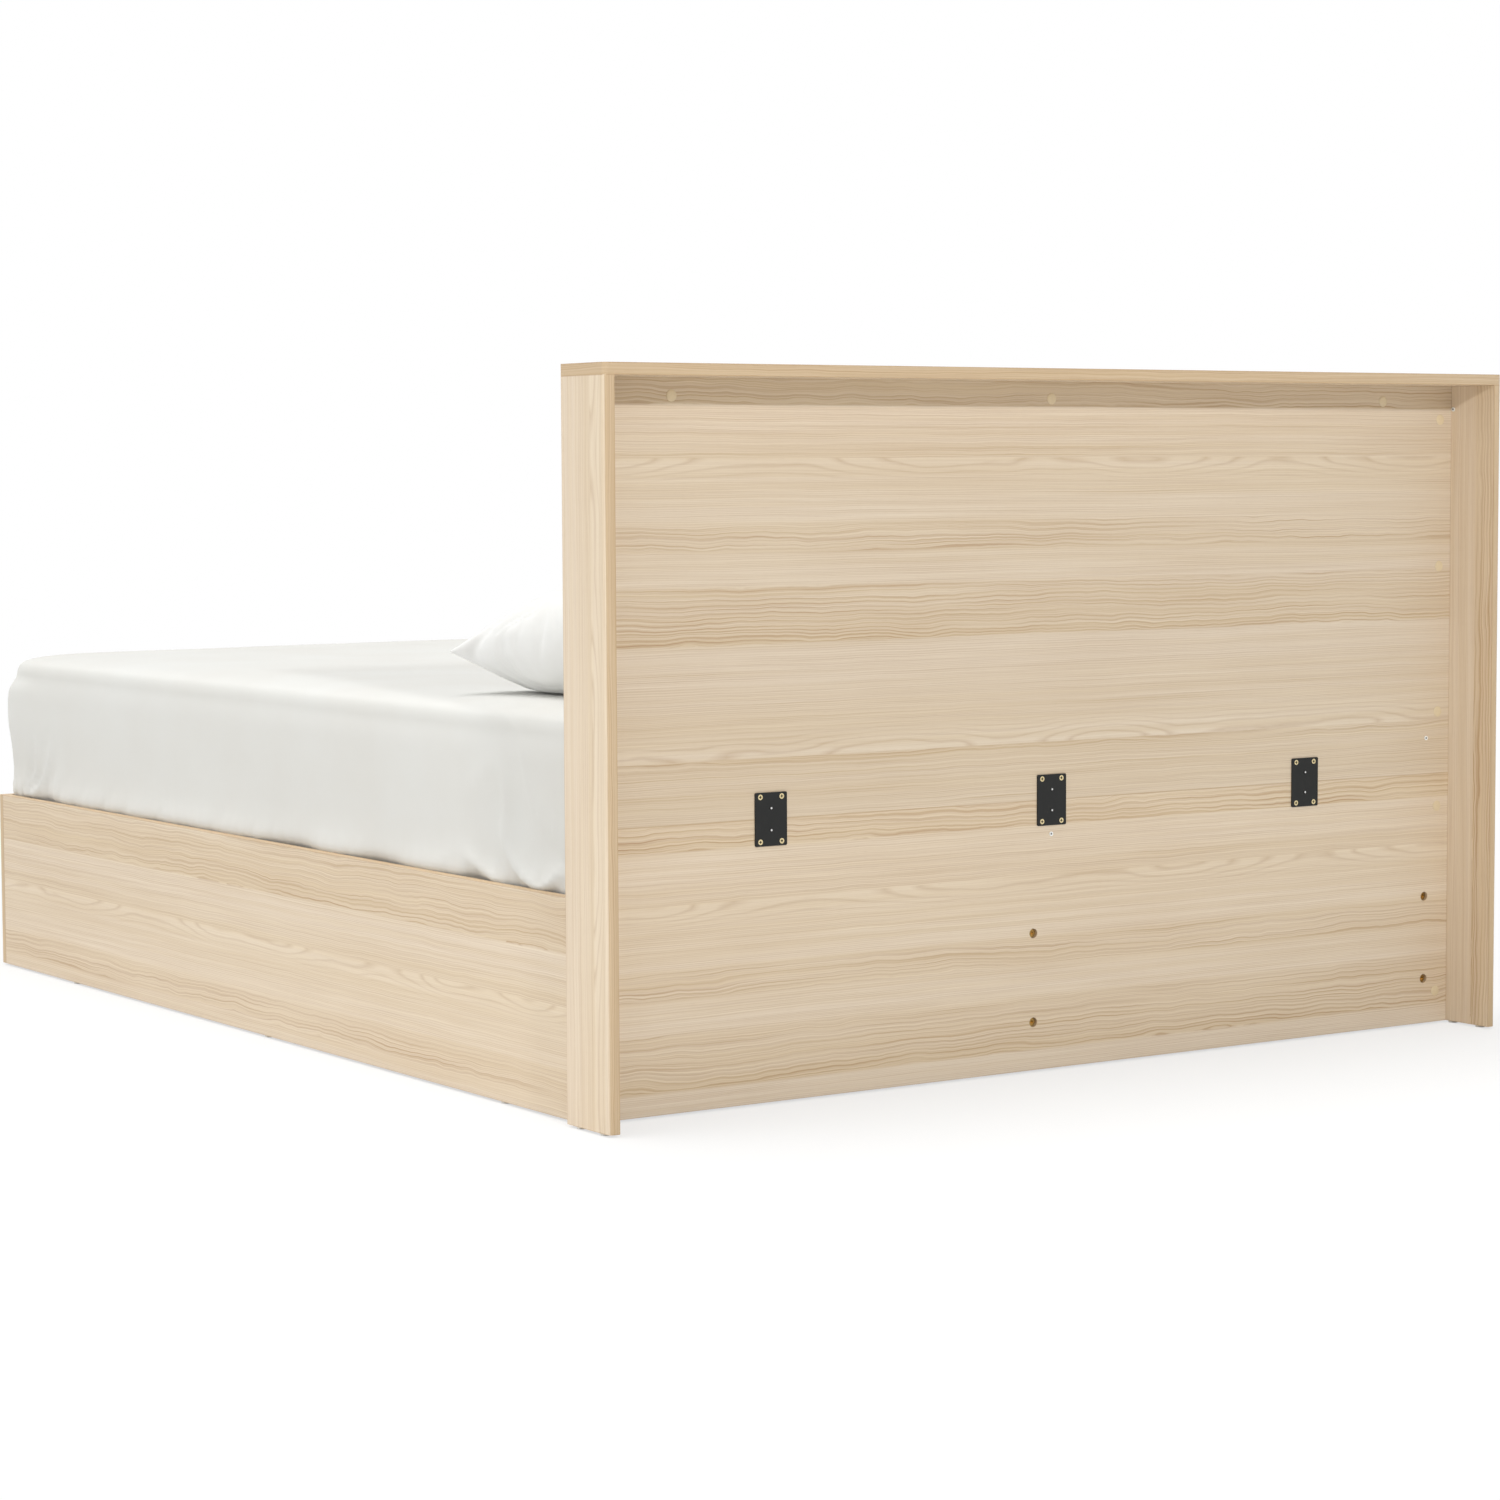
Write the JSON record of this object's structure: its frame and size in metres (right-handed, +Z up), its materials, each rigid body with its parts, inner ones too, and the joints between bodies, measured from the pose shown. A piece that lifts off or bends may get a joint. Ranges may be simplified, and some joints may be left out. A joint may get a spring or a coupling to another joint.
{
  "type": "storage bed with mattress",
  "caption": "Low double bed of flat wood-grain boards with a recessed-back headboard, slatted deck, side drawers on telescopic runners, a mattress and a pillow.",
  "frame": {"origin": "on the floor under the middle of the bed's bounding box", "axes": "+Z up, +Y towards the headboard, +X towards the plain side rail; the drawers open towards -X"},
  "size_m": [1.6, 2.06, 1],
  "materials": {
    "board": "matt wood-grain laminate on particle board",
    "drawer_box": "plain pale laminate",
    "pine": "sawn softwood",
    "black_steel": "satin black powder coat",
    "zinc_steel": "zinc plated",
    "cam_zinc": "die-cast",
    "brass": "satin",
    "cap_plastic": "matt",
    "white_plastic": "matt",
    "glide_plastic": "matt",
    "tape": "woven",
    "sheet_fabric": "fine cotton",
    "pillow_fabric": "fine cotton"
  },
  "bodies": {
    "frame": {"headboard_upper_panel": "board", "headboard_lower_panel": "board", "headboard_end_near": "board", "headboard_end_far": "board", "headboard_top_board": "board", "side_rail": "board", "foot_panel": "board", "drawer_top_rail": "board", "base_head_panel": "board", "centre_partition": "board", "drawer_gable": "board", "near_cross_board": "board", "slat_ledge_near": "pine", "slat_ledge_centre_near": "pine", "slat_ledge_centre_far": "pine", "slat_ledge_far": "pine", "mattress_slats_near": "pine", "mattress_slats_far": "pine", "headboard_dowels": "pine", "base_dowels": "pine", "joining_plates": "black_steel", "plate_screws": "zinc_steel", "ledge_screws": "zinc_steel", "bracket_screws": "zinc_steel", "cam_bolts": "zinc_steel", "plate_pins": "zinc_steel", "corner_brackets": "zinc_steel", "runner_cabinet_members": "zinc_steel", "cam_locks": "cam_zinc", "bed_bolts": "brass", "bolt_inserts": "brass", "cam_cover_caps": "cap_plastic", "white_panel_pins": "white_plastic", "floor_glides": "glide_plastic", "slat_tapes": "tape", "mattress": "sheet_fabric", "pillow": "pillow_fabric"},
    "drawer_head": {"drawer_head_front": "board", "drawer_head_side_head": "drawer_box", "drawer_head_side_foot": "drawer_box", "drawer_head_back": "drawer_box", "drawer_head_bottom": "drawer_box", "drawer_head_brace": "drawer_box", "drawer_head_dowels": "pine", "drawer_head_screws": "zinc_steel", "drawer_head_runner_inner": "zinc_steel"},
    "drawer_foot": {"drawer_foot_front": "board", "drawer_foot_side_head": "drawer_box", "drawer_foot_side_foot": "drawer_box", "drawer_foot_back": "drawer_box", "drawer_foot_bottom": "drawer_box", "drawer_foot_brace": "drawer_box", "drawer_foot_dowels": "pine", "drawer_foot_screws": "zinc_steel", "drawer_foot_runner_inner": "zinc_steel"},
    "runner_head": {"drawer_head_runner_middle": "zinc_steel"},
    "runner_foot": {"drawer_foot_runner_middle": "zinc_steel"}
  },
  "joints": [
    {"name": "drawer_head_slide", "type": "slide", "parent": "frame", "child": "drawer_head", "axis": [-1, 0, 0], "range_m": [0, 0.6]},
    {"name": "runner_head_slide", "type": "slide", "parent": "frame", "child": "runner_head", "axis": [-1, 0, 0], "range_m": [0, 0.3]},
    {"name": "drawer_foot_slide", "type": "slide", "parent": "frame", "child": "drawer_foot", "axis": [-1, 0, 0], "range_m": [0, 0.6]},
    {"name": "runner_foot_slide", "type": "slide", "parent": "frame", "child": "runner_foot", "axis": [-1, 0, 0], "range_m": [0, 0.3]}
  ],
  "couplings": [
    {"joint": "runner_head_slide", "follows": "drawer_head_slide", "ratio": 0.5},
    {"joint": "runner_foot_slide", "follows": "drawer_foot_slide", "ratio": 0.5}
  ]
}
